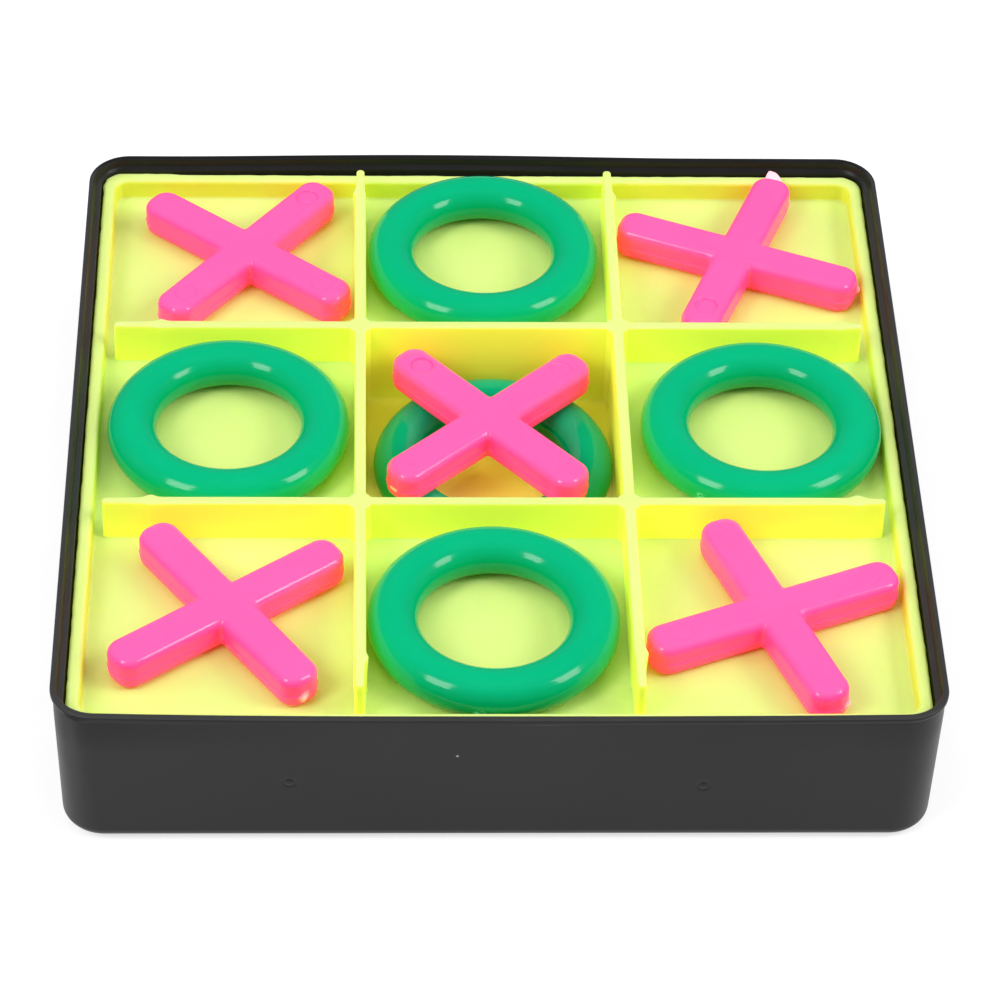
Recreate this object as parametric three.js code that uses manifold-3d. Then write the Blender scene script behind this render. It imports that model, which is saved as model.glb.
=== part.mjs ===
// Tic tac toe set: a black tray, a yellow board insert with nine cells, five rings and five crosses.
// Millimetres, +Z up. The origin is the middle of the tray's underside, +Y is the far side of the board.
import * as THREE from "three";
import { mergeVertices } from "three/addons/utils/BufferGeometryUtils.js";
import Module from "manifold-3d";

const wasm = await Module();
wasm.setup();

// ---- driving dimensions ----------------------------------------------------------------------------

// Tray: a square box with a narrow overhanging rim, and a rebate inside the rim for a lid to sit in.
const TRAY_SIZE = 100;
const TRAY_HEIGHT = 20;
const TRAY_CORNER = 4.7;
const TRAY_FLOOR = 1.2;
const RIM_OVERHANG = 0.3;
const RIM_HEIGHT = 0.6;
const RIM_WIDTH = 0.9;
const RIM_ROUND = 0.25;
const REBATE_DEPTH = 1.0;
const REBATE_FALL = 0.25;
const WALL_INSIDE = 48.5;
const WALL_INSIDE_CORNER = 2.9;
const WALL_DRAFT = 0.3;
const TRAY_BOTTOM_ROUND = 1.8;
const TRAY_INSIDE_ROUND = 0.6;

// The thin tray has warped: part of its back wall bows out, more so towards the top, and the front of its
// rim draws in towards the corners.
const BACK_BOW = 0.5;
const BACK_BOW_MIDDLE = -7;
const BACK_BOW_REACH = 34;
const RIM_DRAW_LEFT = 0.5;
const RIM_DRAW_RIGHT = 0.25;

// Insert: border, cells, ribs and the centre well. Heights are of the surfaces above the table.
const BORDER_TOP = 18.4;
const BORDER_OUTSIDE = 48.3;
const BORDER_INSIDE = 46.75;
const FRONT_BORDER_INSIDE = 47.0;
const BORDER_CORNER = 2.6;
const POCKET_CORNER = 1.6;
const BORDER_ROUND = 0.35;
const CELL_FLOOR = 15.7;
const INSERT_THICKNESS = 1.2;
const SKIRT_BOTTOM = TRAY_FLOOR + 0.3;
const RIB_OFFSET = 15.65;
const RIB_THICKNESS = 1.3;
const RIB_TOP = 21.2;
const RIB_HALF_LENGTH_X = 45.5;
const RIB_HALF_LENGTH_Y = 45.8;
const BOSS_RADIUS = 1.45;
const WELL_FLOOR = 9.6;

// Playing pieces.
const REST_GAP = 0.05;
const RING_MIDDLE_RADIUS = 11.5;
const RING_WIDTH = 5.8;
const RING_HEIGHT = 5.2;
const CROSS_LENGTH = 31.3;
const CROSS_WIDTH = 5.1;
const CROSS_HEIGHT = 4.3;
const CROSS_END_ROUND = 2.15;
const CROSS_NOTCH_ROUND = 0.5;
const CROSS_EDGE = 0.9;
const PIN_MARK_RADIUS = 1.35;
const PIN_MARK_DEPTH = 0.12;
const PIN_MARK_FROM_END = 3.1;

// Where each piece lies: its centre on the board, and a cross's turn in degrees.
const RINGS = [
  { name: "ring_back", x: -0.35, y: 32.3 },
  { name: "ring_left", x: -31.3, y: 0.25 },
  { name: "ring_right", x: 32.25, y: 0.1 },
  { name: "ring_front", x: -0.45, y: -32.5 },
];
const CENTRE_RING = { name: "ring_centre", x: 0.35, y: 0.2 };
const CROSSES = [
  { name: "cross_back_left", x: -29.75, y: 32.35, turn: 51.7 },
  { name: "cross_back_right", x: 31.4, y: 31.75, turn: 67.5 },
  { name: "cross_front_left", x: -30.75, y: -30.85, turn: 36.15 },
  { name: "cross_front_right", x: 31.45, y: -31.6, turn: 22.15 },
];
const CENTRE_CROSS = { name: "cross_centre", x: -0.2, y: 1.75, turn: 42.5 };

// ---- materials -------------------------------------------------------------------------------------

function plastic(color, roughness) {
  return new THREE.MeshStandardMaterial({ color, roughness, metalness: 0 });
}

const blackPlastic = () => plastic(0x2b2b2c, 0.45);
const yellowPlastic = () => plastic(0xe2fb5c, 0.4);
const greenPlastic = () => plastic(0x04995f, 0.25);
const pinkPlastic = () => plastic(0xff4fa8, 0.25);

// ---- solids ----------------------------------------------------------------------------------------

// A closed geometry as a manifold solid: only its positions are kept, with shared vertices merged.
function solid(geometry) {
  const bare = geometry.clone();
  bare.deleteAttribute("normal");
  bare.deleteAttribute("uv");
  const merged = mergeVertices(bare, 1e-4);
  return new wasm.Manifold(
    new wasm.Mesh({
      numProp: 3,
      vertProperties: merged.attributes.position.array,
      triVerts: new Uint32Array(merged.index.array),
    }),
  );
}

function geometryOf(body) {
  const mesh = body.getMesh();
  const geometry = new THREE.BufferGeometry();
  geometry.setAttribute("position", new THREE.BufferAttribute(mesh.vertProperties, 3));
  geometry.setIndex(new THREE.BufferAttribute(mesh.triVerts, 1));
  geometry.computeVertexNormals();
  return geometry;
}

// The points of a square with rounded corners, anticlockwise from above.
function roundedSquare(half, radius, cornerSteps, sideSteps) {
  const points = [];
  const middles = [
    [1, 1],
    [-1, 1],
    [-1, -1],
    [1, -1],
  ];
  const add = (mx, my, angle) => {
    const x = mx * (half - radius) + radius * Math.cos(angle);
    const y = my * (half - radius) + radius * Math.sin(angle);
    points.push([x, y]);
  };
  middles.forEach(([sx, sy], corner) => {
    for (let i = 0; i <= cornerSteps; i++) {
      add(sx, sy, (corner + i / cornerSteps) * (Math.PI / 2));
    }
    const [nextX, nextY] = middles[(corner + 1) % 4];
    for (let i = 1; i < sideSteps; i++) {
      const share = i / sideSteps;
      add(sx + (nextX - sx) * share, sy + (nextY - sy) * share, (corner + 1) * (Math.PI / 2));
    }
  });
  return points;
}

// A closed solid skinned over a stack of rounded squares, {half, radius, z}, that starts and ends flat.
// The stack may turn back on itself, so that one skin makes both sides of a wall.
function skinned(stack, cornerSteps, sideSteps = 1) {
  const loops = stack.map(({ half, radius }) => roundedSquare(half, radius, cornerSteps, sideSteps));
  const count = loops[0].length;
  const positions = [];
  loops.forEach((loop, k) => loop.forEach(([x, y]) => positions.push(x, y, stack[k].z)));
  const index = [];
  for (let k = 0; k + 1 < loops.length; k++) {
    for (let i = 0; i < count; i++) {
      const a = k * count + i;
      const b = k * count + ((i + 1) % count);
      index.push(a, b, b + count, a, b + count, a + count);
    }
  }
  const bottomCentre = positions.length / 3;
  positions.push(0, 0, stack[0].z);
  const topCentre = bottomCentre + 1;
  positions.push(0, 0, stack[stack.length - 1].z);
  const last = (loops.length - 1) * count;
  for (let i = 0; i < count; i++) {
    const j = (i + 1) % count;
    index.push(bottomCentre, j, i);
    index.push(topCentre, last + i, last + j);
  }
  const geometry = new THREE.BufferGeometry();
  geometry.setAttribute("position", new THREE.Float32BufferAttribute(positions, 3));
  geometry.setIndex(index);
  return geometry;
}

// A straight-sided block with rounded vertical corners, from one height to another.
function roundedBlock(half, radius, low, high, cornerSteps) {
  const stack = [
    { half, radius, z: low },
    { half, radius, z: high },
  ];
  return skinned(stack, cornerSteps);
}

function block(width, depth, low, high, x, y) {
  const geometry = new THREE.BoxGeometry(width, depth, high - low);
  geometry.translate(x, y, (low + high) / 2);
  return geometry;
}

function upright(radius, low, high, x, y, sides) {
  const geometry = new THREE.CylinderGeometry(radius, radius, high - low, sides);
  geometry.rotateX(Math.PI / 2);
  geometry.translate(x, y, (low + high) / 2);
  return geometry;
}

// ---- tray ------------------------------------------------------------------------------------------

// A quarter turn of steps, as {out, up} from 0 to 1, for the rounded edges of the tray and the border.
function quarter(steps) {
  const turns = [];
  for (let i = 0; i <= steps; i++) {
    const angle = (i / steps) * (Math.PI / 2);
    turns.push({ out: Math.sin(angle), up: 1 - Math.cos(angle) });
  }
  return turns;
}

function trayGeometry() {
  const rim = TRAY_SIZE / 2;
  const wallTop = rim - RIM_OVERHANG;
  const wallBottom = wallTop - WALL_DRAFT;
  const rimInside = rim - RIM_WIDTH;
  const outside = [];
  quarter(5).forEach(({ out, up }) => {
    const inset = TRAY_BOTTOM_ROUND * (1 - out);
    outside.push({
      half: wallBottom - inset,
      radius: TRAY_CORNER - inset * 0.6,
      z: TRAY_BOTTOM_ROUND * up,
    });
  });
  const underRim = TRAY_HEIGHT - RIM_HEIGHT;
  const rimEdge = [
    { half: wallTop, radius: TRAY_CORNER, z: underRim - RIM_OVERHANG },
    { half: rim, radius: TRAY_CORNER + RIM_OVERHANG, z: underRim },
    { half: rim, radius: TRAY_CORNER + RIM_OVERHANG, z: TRAY_HEIGHT - RIM_ROUND },
    { half: rim - RIM_ROUND, radius: TRAY_CORNER, z: TRAY_HEIGHT },
    { half: rimInside + RIM_ROUND / 2, radius: TRAY_CORNER - 0.4, z: TRAY_HEIGHT },
    { half: rimInside, radius: TRAY_CORNER - 0.5, z: TRAY_HEIGHT - RIM_ROUND / 2 },
  ];
  const inside = [
    { half: rimInside, radius: TRAY_CORNER - 0.5, z: TRAY_HEIGHT - REBATE_DEPTH },
    { half: WALL_INSIDE, radius: WALL_INSIDE_CORNER, z: TRAY_HEIGHT - REBATE_DEPTH - REBATE_FALL },
  ];
  quarter(3)
    .reverse()
    .forEach(({ out, up }) => {
      const inset = TRAY_INSIDE_ROUND * (1 - out);
      inside.push({
        half: WALL_INSIDE - inset,
        radius: WALL_INSIDE_CORNER - inset,
        z: TRAY_FLOOR + TRAY_INSIDE_ROUND * up,
      });
    });
  return warped(skinned([...outside, ...rimEdge, ...inside], 7, 12));
}

// Moves the tray's points back or forward as its walls have warped.
function warped(geometry) {
  const position = geometry.getAttribute("position");
  const rimSide = TRAY_SIZE / 2 - TRAY_CORNER;
  for (let i = 0; i < position.count; i++) {
    const x = position.getX(i);
    const y = position.getY(i);
    const z = position.getZ(i);
    let move = 0;
    if (y > WALL_INSIDE - TRAY_CORNER) {
      const away = Math.min(1, Math.abs(x - BACK_BOW_MIDDLE) / BACK_BOW_REACH);
      move = BACK_BOW * (1 - away ** 2) ** 2 * (z / TRAY_HEIGHT) ** 2;
    } else if (y < 0 && z >= TRAY_HEIGHT - REBATE_DEPTH) {
      const most = x < 0 ? RIM_DRAW_LEFT : RIM_DRAW_RIGHT;
      const nearFront = Math.max(0, Math.min(1, (-y - 35) / 10));
      move = most * Math.min(1, Math.abs(x) / rimSide) ** 3 * nearFront;
    }
    position.setY(i, y + move);
  }
  return geometry;
}

// ---- board insert ----------------------------------------------------------------------------------

function borderBlock() {
  const stack = [{ half: BORDER_OUTSIDE, radius: BORDER_CORNER, z: SKIRT_BOTTOM }];
  quarter(2)
    .reverse()
    .forEach(({ out, up }) => {
      const inset = BORDER_ROUND * (1 - out);
      stack.push({
        half: BORDER_OUTSIDE - inset,
        radius: BORDER_CORNER - inset,
        z: BORDER_TOP - BORDER_ROUND * up,
      });
    });
  return skinned(stack, 5);
}

function ribs() {
  const low = CELL_FLOOR - INSERT_THICKNESS / 2;
  const bars = [];
  for (const side of [-1, 1]) {
    const offset = side * RIB_OFFSET;
    bars.push(block(2 * RIB_HALF_LENGTH_X, RIB_THICKNESS, low, RIB_TOP, 0, offset));
    bars.push(block(RIB_THICKNESS, 2 * RIB_HALF_LENGTH_Y, low, RIB_TOP, offset, 0));
  }
  return bars;
}

function bosses() {
  const columns = [];
  for (const sx of [-1, 1]) {
    for (const sy of [-1, 1]) {
      const bottom = WELL_FLOOR - INSERT_THICKNESS;
      columns.push(upright(BOSS_RADIUS, bottom, RIB_TOP, sx * RIB_OFFSET, sy * RIB_OFFSET, 20));
    }
  }
  return columns;
}

function insertGeometry() {
  const outside = BORDER_OUTSIDE - INSERT_THICKNESS;
  const wellInside = RIB_OFFSET - RIB_THICKNESS / 2;
  const wellOutside = RIB_OFFSET + RIB_THICKNESS / 2;
  const pocket = roundedBlock(BORDER_INSIDE, POCKET_CORNER, CELL_FLOOR, BORDER_TOP + 5, 4);
  const frontPocket = pocket.clone().translate(0, BORDER_INSIDE - FRONT_BORDER_INSIDE, 0);
  const hollow = roundedBlock(outside, BORDER_CORNER - 1, -5, CELL_FLOOR - INSERT_THICKNESS, 4);
  const wellWall = block(
    2 * wellOutside,
    2 * wellOutside,
    WELL_FLOOR - INSERT_THICKNESS,
    RIB_TOP,
    0,
    0,
  );
  const wellSpace = block(2 * wellInside, 2 * wellInside, WELL_FLOOR, RIB_TOP + 5, 0, 0);
  let body = solid(borderBlock()).subtract(solid(pocket)).subtract(solid(frontPocket));
  body = body.subtract(solid(hollow));
  body = body.add(solid(wellWall));
  ribs().forEach((rib) => (body = body.add(solid(rib))));
  body = body.subtract(solid(wellSpace));
  bosses().forEach((boss) => (body = body.add(solid(boss))));
  return geometryOf(body);
}

// ---- playing pieces --------------------------------------------------------------------------------

// A ring with an oval section, lying on its underside.
function ringGeometry() {
  const sectionSides = 16;
  const profile = [];
  for (let i = 0; i <= sectionSides; i++) {
    const angle = (i % sectionSides) * ((2 * Math.PI) / sectionSides);
    const radius = RING_MIDDLE_RADIUS + (RING_WIDTH / 2) * Math.cos(angle);
    const height = (RING_HEIGHT / 2) * (1 + Math.sin(angle));
    profile.push(new THREE.Vector2(radius, height));
  }
  const geometry = new THREE.LatheGeometry(profile, 36);
  geometry.rotateX(Math.PI / 2);
  return geometry;
}

// Half-outline of one arm, turned four times: a rounded end, two straight sides and a small notch round.
function crossShape() {
  const shape = new THREE.Shape();
  const reach = CROSS_LENGTH / 2;
  const half = CROSS_WIDTH / 2;
  const end = CROSS_END_ROUND;
  const notch = CROSS_NOTCH_ROUND;
  const at = (arm, along, across) => {
    const angle = (arm * Math.PI) / 2;
    const c = Math.cos(angle);
    const s = Math.sin(angle);
    return [along * c - across * s, along * s + across * c];
  };
  shape.moveTo(...at(0, half + notch, -half));
  for (let arm = 0; arm < 4; arm++) {
    const turn = (arm * Math.PI) / 2;
    shape.lineTo(...at(arm, reach - end, -half));
    shape.absarc(...at(arm, reach - end, end - half), end, turn - Math.PI / 2, turn, false);
    shape.absarc(...at(arm, reach - end, half - end), end, turn, turn + Math.PI / 2, false);
    shape.lineTo(...at(arm, half + notch, half));
    const centre = at(arm, half + notch, half + notch);
    shape.absarc(...centre, notch, turn - Math.PI / 2, turn - Math.PI, true);
  }
  return shape;
}

function crossGeometry() {
  const geometry = new THREE.ExtrudeGeometry(crossShape(), {
    depth: CROSS_HEIGHT - 2 * CROSS_EDGE,
    bevelThickness: CROSS_EDGE,
    bevelSize: CROSS_EDGE,
    bevelOffset: -CROSS_EDGE,
    bevelSegments: 2,
    curveSegments: 3,
  });
  geometry.translate(0, 0, CROSS_EDGE);
  let body = solid(geometry);
  const markReach = CROSS_LENGTH / 2 - PIN_MARK_FROM_END;
  for (let arm = 0; arm < 4; arm++) {
    const angle = (arm * Math.PI) / 2;
    const x = markReach * Math.cos(angle);
    const y = markReach * Math.sin(angle);
    const low = CROSS_HEIGHT - PIN_MARK_DEPTH;
    body = body.subtract(solid(upright(PIN_MARK_RADIUS, low, CROSS_HEIGHT + 1, x, y, 12)));
  }
  return geometryOf(body);
}

// ---- assembly --------------------------------------------------------------------------------------

const ticTacToeSet = new THREE.Group();

function place(name, geometry, material, x = 0, y = 0, z = 0, turn = 0) {
  const mesh = new THREE.Mesh(geometry, material);
  mesh.name = name;
  mesh.position.set(x, y, z);
  mesh.rotation.z = THREE.MathUtils.degToRad(turn);
  ticTacToeSet.add(mesh);
}

place("box_base", trayGeometry(), blackPlastic());
place("board_insert", insertGeometry(), yellowPlastic());

const onCell = CELL_FLOOR + REST_GAP;
const inWell = WELL_FLOOR + REST_GAP;
const onCentreRing = inWell + RING_HEIGHT + REST_GAP;

RINGS.forEach(({ name, x, y }) => place(name, ringGeometry(), greenPlastic(), x, y, onCell));
place(CENTRE_RING.name, ringGeometry(), greenPlastic(), CENTRE_RING.x, CENTRE_RING.y, inWell);

CROSSES.forEach(({ name, x, y, turn }) => {
  place(name, crossGeometry(), pinkPlastic(), x, y, onCell, turn);
});
place(
  CENTRE_CROSS.name,
  crossGeometry(),
  pinkPlastic(),
  CENTRE_CROSS.x,
  CENTRE_CROSS.y,
  onCentreRing,
  CENTRE_CROSS.turn,
);

export default ticTacToeSet;
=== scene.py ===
"""Looks of a tic tac toe set.

A black tray holds a yellow board insert, five green rings and five pink crosses. Lengths in the shape code
are millimetres in the CAD frame; they become metres when a mesh is made.
"""

import math

import bmesh
import bpy
import numpy as np
from mathutils import Matrix, Vector, noise
from mathutils.geometry import delaunay_2d_cdt


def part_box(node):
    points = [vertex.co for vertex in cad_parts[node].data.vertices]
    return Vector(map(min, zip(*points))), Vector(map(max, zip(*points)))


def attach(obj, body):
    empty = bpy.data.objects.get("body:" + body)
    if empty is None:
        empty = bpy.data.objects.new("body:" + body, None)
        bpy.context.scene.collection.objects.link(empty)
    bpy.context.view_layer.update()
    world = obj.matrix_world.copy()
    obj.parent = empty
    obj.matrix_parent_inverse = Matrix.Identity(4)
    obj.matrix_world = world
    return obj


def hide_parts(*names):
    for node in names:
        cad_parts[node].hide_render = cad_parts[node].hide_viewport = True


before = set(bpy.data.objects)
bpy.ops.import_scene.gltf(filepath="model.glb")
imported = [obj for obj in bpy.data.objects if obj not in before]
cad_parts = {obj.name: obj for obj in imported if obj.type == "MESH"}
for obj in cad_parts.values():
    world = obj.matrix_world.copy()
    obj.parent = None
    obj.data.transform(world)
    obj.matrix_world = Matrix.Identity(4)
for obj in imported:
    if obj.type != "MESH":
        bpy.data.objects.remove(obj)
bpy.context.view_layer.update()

MM = 0.001
QUARTER = math.pi / 2

# Points closer together than this become one, in a finished piece and when an area is filled. A point of
# a chip is known by lying this close to where it was made. All are in millimetres.
MERGE_DISTANCE = 1e-5
FILL_TOLERANCE = 1e-7
MATCH_DISTANCE = 1e-4

# How far a point added to a filled area keeps from the others, as a share of the points' spacing.
FILL_GAP = 0.45


# ---- where things are, from the frame ----------------------------------------------------------------


def node_box(node):
    """Lowest and highest corner of a CAD node, in millimetres."""
    low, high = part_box(node)
    return low / MM, high / MM


def node_middle(node):
    """Middle of a CAD node in plan, and the height of its underside, in millimetres."""
    low, high = node_box(node)
    return (low.x + high.x) / 2, (low.y + high.y) / 2, low.z


# ---- mesh tools --------------------------------------------------------------------------------------


def quarter_round(radius, steps, back=False):
    """(inset, rise) round a quarter circle, from (radius, 0) to (0, radius), or the other way if back."""
    angles = [i / steps * QUARTER for i in range(steps + 1)]
    pairs = [(radius * (1 - math.sin(a)), radius * (1 - math.cos(a))) for a in angles]
    return pairs[::-1] if back else pairs


def smooth_step(value, low, high):
    """0 below low, 1 above high and a smooth rise between them; it falls instead if low is above high."""
    share = min(1.0, max(0.0, (value - low) / (high - low)))
    return share * share * (3 - 2 * share)


def bell(value, width):
    """1 at a value of 0, falling away smoothly on both sides."""
    return math.exp(-((value / width) ** 2))


def rounded_square(half, radius, corner_steps, side_steps):
    """Plan points of a square with rounded corners, anticlockwise from above."""
    points = []
    signs = ((1, 1), (-1, 1), (-1, -1), (1, -1))
    flat = half - radius
    for corner, (sx, sy) in enumerate(signs):
        for i in range(corner_steps + 1):
            angle = (corner + i / corner_steps) * QUARTER
            points.append((sx * flat + radius * math.cos(angle), sy * flat + radius * math.sin(angle)))
        tx, ty = signs[(corner + 1) % 4]
        angle = (corner + 1) * QUARTER
        start = points[-1]
        end = (tx * flat + radius * math.cos(angle), ty * flat + radius * math.sin(angle))
        for i in range(1, side_steps):
            share = i / side_steps
            points.append(tuple(a + (b - a) * share for a, b in zip(start, end)))
    return points


def circle(x, y, radius, steps):
    angles = [2 * math.pi * i / steps for i in range(steps)]
    return [(x + radius * math.cos(a), y + radius * math.sin(a)) for a in angles]


def inside(points, loop):
    """Which of the plan points lie inside the closed loop."""
    x, y = points[:, 0], points[:, 1]
    found = np.zeros(len(points), bool)
    for (ax, ay), (bx, by) in zip(loop, np.roll(loop, -1, axis=0)):
        if ay == by:
            continue
        crosses = (ay > y) != (by > y)
        found ^= crosses & (x < (bx - ax) * (y - ay) / (by - ay) + ax)
    return found


class Shell:
    """A closed surface built from loops of points."""

    def __init__(self):
        self.points = []
        self.faces = []

    def loop(self, plan, z):
        """Adds a loop of plan points at height z, which is a number or a function of x and y."""
        start = len(self.points)
        self.points += [(x, y, z(x, y) if callable(z) else z) for x, y in plan]
        return list(range(start, len(self.points)))

    def bridge(self, a, b):
        for i in range(len(a)):
            j = (i + 1) % len(a)
            self.faces.append((a[i], a[j], b[j], b[i]))

    def skin(self, loops, joined_to=None):
        """Adds (plan, z) loops, joins each to the one before, and returns the first and last of them."""
        made = [self.loop(plan, z) for plan, z in loops]
        chain = made if joined_to is None else [joined_to, *made]
        for a, b in zip(chain, chain[1:]):
            self.bridge(a, b)
        return made[0], made[-1]

    def fill(self, border, holes, height, spacing=None, rings=()):
        """Fills the area inside the border loop and outside the holes with triangles.

        height gives z for x and y, spacing is the distance between points added inside, and rings are
        closed plan loops added as edges.
        """
        plan, owner, edges = [], [], []
        for loop in [border, *holes]:
            start = len(plan)
            plan += [self.points[i][:2] for i in loop]
            owner += loop
            edges += [(start + i, start + (i + 1) % len(loop)) for i in range(len(loop))]
        outline = np.array([self.points[i][:2] for i in border])
        cuts = [np.array([self.points[i][:2] for i in hole]) for hole in holes]
        for ring in rings:
            start = len(plan)
            plan += ring
            edges += [(start + i, start + (i + 1) % len(ring)) for i in range(len(ring))]
        if spacing:
            low, high = outline.min(0), outline.max(0)
            grid = np.array(
                [
                    (x + (row % 2) * spacing / 2, y)
                    for row, y in enumerate(np.arange(low[1], high[1], spacing))
                    for x in np.arange(low[0], high[0], spacing)
                ]
            )
            grid = grid[inside(grid, outline)]
            for cut in cuts:
                grid = grid[~inside(grid, cut)]
            known = np.array(plan)
            near = np.array([np.hypot(*(known - p).T).min() for p in grid])
            plan += [tuple(p) for p in grid[near > spacing * FILL_GAP]]
        corners = [Vector(p) for p in plan]
        made, _, faces, origin, _, _ = delaunay_2d_cdt(corners, edges, [], 0, FILL_TOLERANCE)
        index = []
        for point, sources in zip(made, origin):
            owned = [s for s in sources if s < len(owner)]
            if owned:
                index.append(owner[owned[0]])
            else:
                index.append(len(self.points))
                self.points.append((point.x, point.y, height(point.x, point.y)))
        middles = np.array([np.mean([made[i] for i in face], axis=0) for face in faces])
        keep = inside(middles, outline)
        for cut in cuts:
            keep &= ~inside(middles, cut)
        self.faces += [tuple(index[i] for i in face) for face, kept in zip(faces, keep) if kept]


def refine(bm, centre, radius, cuts):
    """Splits the edges within radius of centre, so that a small mark has enough points."""
    centre = Vector(centre)
    close = {v for v in bm.verts if (v.co - centre).length < radius}
    edges = [e for e in bm.edges if e.verts[0] in close and e.verts[1] in close]
    bmesh.ops.subdivide_edges(bm, edges=edges, cuts=cuts, use_grid_fill=True)


def add_object(name, data):
    made = bpy.data.objects.new(name, data)
    bpy.context.scene.collection.objects.link(made)
    return made


def add_piece(name, shell, material, body, node, shape=None, sharp=50):
    """Makes an object of a shell with its material, puts it under its CAD body and hides the CAD node."""
    bm = bmesh.new()
    verts = [bm.verts.new(p) for p in shell.points]
    for face in shell.faces:
        bm.faces.new([verts[i] for i in face])
    bmesh.ops.remove_doubles(bm, verts=bm.verts, dist=MERGE_DISTANCE)
    bmesh.ops.recalc_face_normals(bm, faces=bm.faces)
    if shape:
        shape(bm)
    bmesh.ops.scale(bm, vec=(MM, MM, MM), verts=bm.verts)
    for face in bm.faces:
        face.smooth = True
    mesh = bpy.data.meshes.new(name)
    bm.to_mesh(mesh)
    bm.free()
    mesh.set_sharp_from_angle(angle=math.radians(sharp))
    piece = add_object(name, mesh)
    weighted = piece.modifiers.new("flat faces stay flat", "WEIGHTED_NORMAL")
    weighted.keep_sharp = True
    mesh.materials.append(material)
    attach(piece, body)
    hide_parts(node)
    return piece


# ---- materials ---------------------------------------------------------------------------------------


class Nodes:
    """Short names for building a node tree."""

    def __init__(self, name):
        self.material = bpy.data.materials.new(name)
        self.material.use_nodes = True
        self.tree = self.material.node_tree
        self.shader = self.tree.nodes["Principled BSDF"]

    def add(self, kind, **settings):
        node = self.tree.nodes.new("ShaderNode" + kind)
        for key, value in settings.items():
            setattr(node, key, value)
        return node

    def link(self, start, end):
        self.tree.links.new(start, end)

    def place(self):
        """Object coordinates, in metres."""
        return self.add("TexCoord").outputs["Object"]

    def attribute(self, name):
        """A number that the mesh carries at each of its points."""
        return self.add("Attribute", attribute_name=name).outputs["Fac"]

    def noise(self, scale, detail=2.0, roughness=0.5, stretch=None):
        texture = self.add("TexNoise")
        texture.inputs["Scale"].default_value = scale
        texture.inputs["Detail"].default_value = detail
        texture.inputs["Roughness"].default_value = roughness
        source = self.place()
        if stretch:
            mapping = self.add("Mapping")
            mapping.inputs["Scale"].default_value = stretch
            self.link(source, mapping.inputs["Vector"])
            source = mapping.outputs["Vector"]
        self.link(source, texture.inputs["Vector"])
        return texture.outputs["Fac"]

    def remap(self, value, low, high, out_low, out_high):
        node = self.add("MapRange")
        sockets = ("From Min", "From Max", "To Min", "To Max")
        for socket, number in zip(sockets, (low, high, out_low, out_high)):
            node.inputs[socket].default_value = number
        self.link(value, node.inputs["Value"])
        return node.outputs["Result"]

    def multiply(self, a, b):
        node = self.add("Math", operation="MULTIPLY")
        self.link(a, node.inputs[0])
        self.link(b, node.inputs[1])
        return node.outputs[0]

    def mix(self, share, a, b):
        """A colour from a where share is 0 to b where it is 1; a and b are colours or sockets."""
        node = self.add("Mix", data_type="RGBA")
        for socket, value in zip((node.inputs[6], node.inputs[7]), (a, b)):
            if isinstance(value, tuple):
                socket.default_value = (*value, 1.0)
            else:
                self.link(value, socket)
        self.link(share, node.inputs["Factor"])
        return node.outputs[2]

    def bump(self, value, strength, distance, after=None):
        node = self.add("Bump")
        node.inputs["Strength"].default_value = strength
        node.inputs["Distance"].default_value = distance
        self.link(value, node.inputs["Height"])
        if after is not None:
            self.link(after, node.inputs["Normal"])
        return node.outputs["Normal"]

    def feed(self, socket, source):
        """Links a source to one of the shader's own sockets."""
        self.link(source, self.shader.inputs[socket])

    def set(self, **values):
        for key, value in values.items():
            self.shader.inputs[key.replace("_", " ")].default_value = value


# The range that a noise texture mostly stays in.
NOISE_LOW, NOISE_HIGH = 0.3, 0.7


def moulded_surface(n, drift, rough_low, rough_high, ripple, grain):
    """Slow ripples and fine grain, with roughness that drifts between two values.

    ripple and grain are (scale of the noise, strength, depth in millimetres).
    """
    n.feed("Roughness", n.remap(drift, NOISE_LOW, NOISE_HIGH, rough_low, rough_high))
    normal = None
    for scale, strength, depth in (ripple, grain):
        normal = n.bump(n.noise(scale), strength, depth * MM, normal)
    n.feed("Normal", normal)


def bright_plastic_grain(n, roughness):
    """The surface of the yellow, green and pink plastics."""
    low, high = roughness * 0.85, roughness * 1.2
    moulded_surface(n, n.noise(160.0), low, high, ripple=(220.0, 0.25, 0.06), grain=(2600.0, 0.3, 0.006))


def flowing(n, colour, variation):
    """A colour with slow, faint variation, as melted plastic leaves when it flows."""
    flow = n.noise(90.0, 3.0, 0.55, stretch=(1.0, 1.0, 0.6))
    share = n.remap(flow, NOISE_LOW, NOISE_HIGH, 0.0, 1.0)
    return n.mix(share, colour, tuple(c * v for c, v in zip(colour, variation)))


def level_share(n, low, high):
    """0 where the surface stands upright, to 1 where it lies level, between two heights of its normal."""
    parts = n.add("SeparateXYZ")
    n.link(n.add("NewGeometry").outputs["Normal"], parts.inputs["Vector"])
    return n.remap(parts.outputs["Z"], low, high, 0.0, 1.0)


def piece_plastic(name, side, top, variation, pale, roughness, gloss, depth, blur, glow, glow_strength):
    """The glossy plastic of a playing piece, pale where the mesh's scuff attribute says so. Level faces
    take the top colour and upright ones the side colour, which is painted light, and glow is a painted
    glow given off everywhere.
    """
    n = Nodes(name)
    # Painted light: level faces take the top colour, upright ones the side colour.
    body = n.mix(level_share(n, 0.3, 0.9), flowing(n, side, variation), flowing(n, top, variation))
    n.feed("Base Color", n.mix(n.attribute("scuff"), body, pale))
    bright_plastic_grain(n, roughness)
    n.set(Specular_IOR_Level=gloss)
    n.set(Subsurface_Weight=depth, Subsurface_Radius=blur, Subsurface_Scale=MM)
    # A painted glow, the same whether the surface is lit or not.
    n.set(Emission_Color=(*glow, 1.0), Emission_Strength=glow_strength)
    return n.material


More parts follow.
